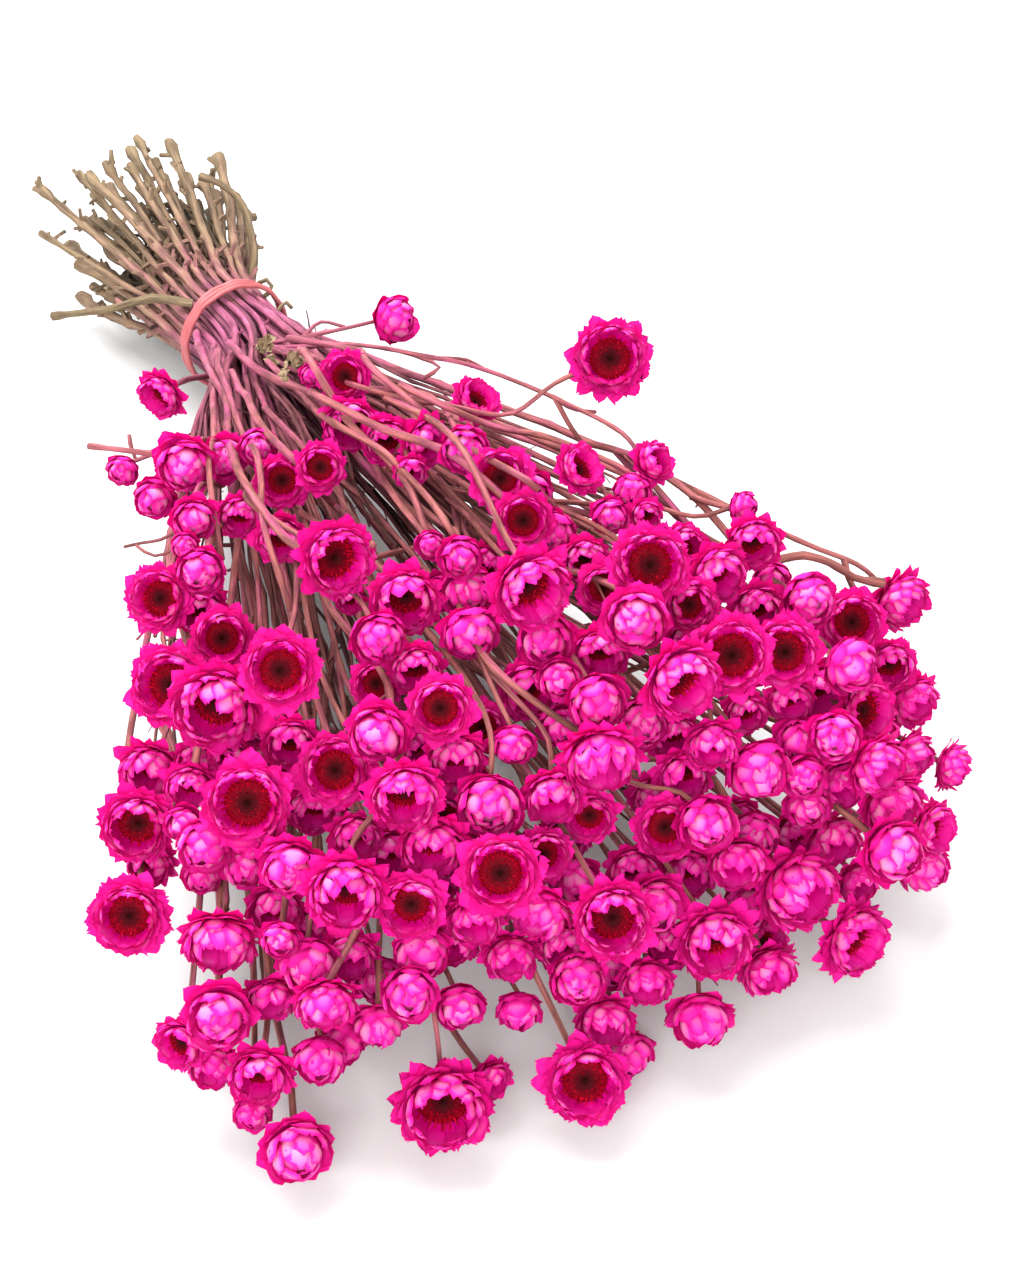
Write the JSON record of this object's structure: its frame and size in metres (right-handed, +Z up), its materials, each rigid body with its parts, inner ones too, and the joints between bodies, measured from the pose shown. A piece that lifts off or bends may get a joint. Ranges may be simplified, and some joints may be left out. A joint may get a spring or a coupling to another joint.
{
  "type": "dried winged everlasting bunch",
  "caption": "Tied bunch of dried winged everlasting lying on its side, with branching woody stems and papery bloom heads.",
  "frame": {"origin": "middle of the bunch's box, on the surface that it lies on", "axes": "+Y runs along the bunch from the blooms to the cut ends, +X to the right seen from the blooms' end, +Z up"},
  "size_m": [0.2244, 0.4232, 0.1164],
  "materials": {
    "bract_pink": "matte",
    "disc_red": "matte",
    "stem_wood": "matte",
    "band_rubber": "matte"
  },
  "bodies": {
    "root": {"spray_01": "bract_pink", "spray_02": "bract_pink", "spray_03": "bract_pink", "spray_04": "bract_pink", "spray_05": "bract_pink", "spray_06": "bract_pink", "spray_07": "bract_pink", "spray_08": "bract_pink", "spray_09": "bract_pink", "spray_10": "bract_pink", "spray_11": "bract_pink", "spray_12": "bract_pink", "spray_13": "bract_pink", "spray_14": "bract_pink", "spray_15": "bract_pink", "spray_16": "bract_pink", "spray_17": "bract_pink", "spray_18": "bract_pink", "spray_19": "bract_pink", "spray_20": "bract_pink", "spray_21": "bract_pink", "spray_22": "bract_pink", "spray_23": "bract_pink", "spray_24": "bract_pink", "spray_25": "bract_pink", "spray_26": "bract_pink", "spray_27": "bract_pink", "spray_28": "bract_pink", "spray_29": "bract_pink", "spray_30": "bract_pink", "spray_31": "bract_pink", "spray_32": "bract_pink", "spray_33": "bract_pink", "spray_34": "bract_pink", "spray_35": "bract_pink", "spray_36": "bract_pink", "spray_37": "bract_pink", "spray_38": "bract_pink", "spray_39": "bract_pink", "spray_40": "bract_pink", "spray_41": "bract_pink", "spray_42": "bract_pink", "spray_43": "bract_pink", "spray_44": "bract_pink", "spray_45": "bract_pink", "spray_46": "bract_pink", "spray_47": "bract_pink", "spray_48": "bract_pink", "spray_49": "bract_pink", "spray_50": "bract_pink", "spray_51": "bract_pink", "spray_52": "bract_pink", "spray_53": "bract_pink", "spray_54": "bract_pink", "spray_55": "bract_pink", "spray_56": "bract_pink", "band": "band_rubber"}
  },
  "joints": []
}
